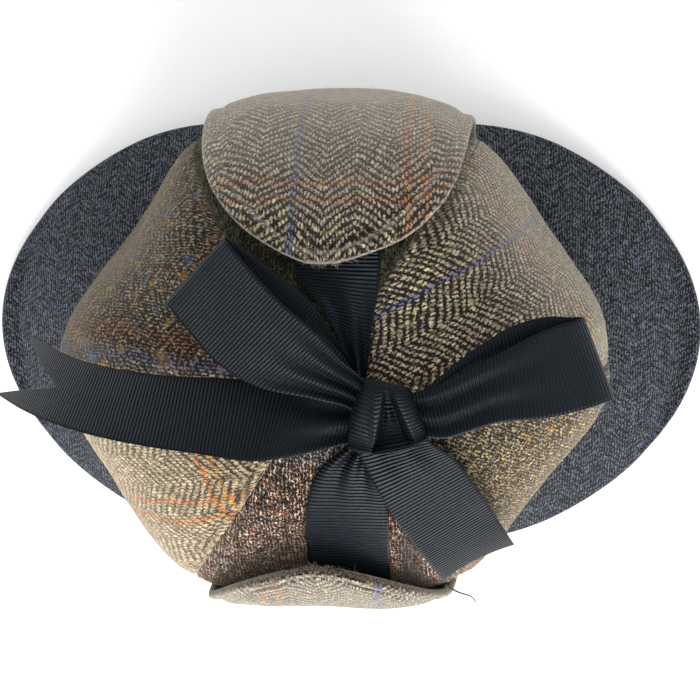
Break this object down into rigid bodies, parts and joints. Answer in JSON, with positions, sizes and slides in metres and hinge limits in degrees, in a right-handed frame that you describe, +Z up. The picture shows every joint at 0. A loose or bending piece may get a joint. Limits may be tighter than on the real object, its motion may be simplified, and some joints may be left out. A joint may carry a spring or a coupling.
{
  "type": "deerstalker hat",
  "caption": "Soft tweed hat with a patchwork gored crown, stiffened peaks front and rear, and ear flaps folded up and tied over the crown by a ribbon bow.",
  "frame": {"origin": "middle of the underside, in the plane that the two peaks rest on", "axes": "+Z up through the crown, -Y to the front peak, +X to the wearer's left ear flap"},
  "size_m": [0.2165, 0.327, 0.1686],
  "materials": {
    "cream_brown_herringbone": "cream on brown herringbone wool tweed with an orange and blue overcheck",
    "olive_tweed": "dark olive wool tweed",
    "brown_overcheck_tweed": "fuzzy brown twill tweed with a rust and blue overcheck",
    "light_herringbone": "light tan herringbone wool tweed with an orange overcheck",
    "russet_tweed": "reddish brown speckled wool tweed",
    "ochre_tweed": "ochre and brown speckled fuzzy wool tweed",
    "charcoal_tweed": "charcoal and navy herringbone wool tweed with a faint windowpane",
    "flap_herringbone": "cream on dark brown herringbone wool tweed, padded",
    "black_grosgrain": "ribbed black grosgrain with a low blue-grey sheen"
  },
  "bodies": {
    "root": {"crown_panel_front_left": "cream_brown_herringbone", "crown_panel_left": "olive_tweed", "crown_panel_rear_left": "brown_overcheck_tweed", "crown_panel_rear_right": "light_herringbone", "crown_panel_right": "russet_tweed", "crown_panel_front_right": "ochre_tweed", "peak_front": "charcoal_tweed", "peak_rear": "charcoal_tweed", "ear_flap_left": "flap_herringbone", "ear_flap_right": "flap_herringbone", "ribbon_strap_left": "black_grosgrain", "ribbon_strap_right": "black_grosgrain", "bow_loop_front": "black_grosgrain", "bow_loop_rear": "black_grosgrain", "bow_tail_long": "black_grosgrain", "bow_tail_short": "black_grosgrain", "bow_knot": "black_grosgrain"}
  },
  "joints": []
}
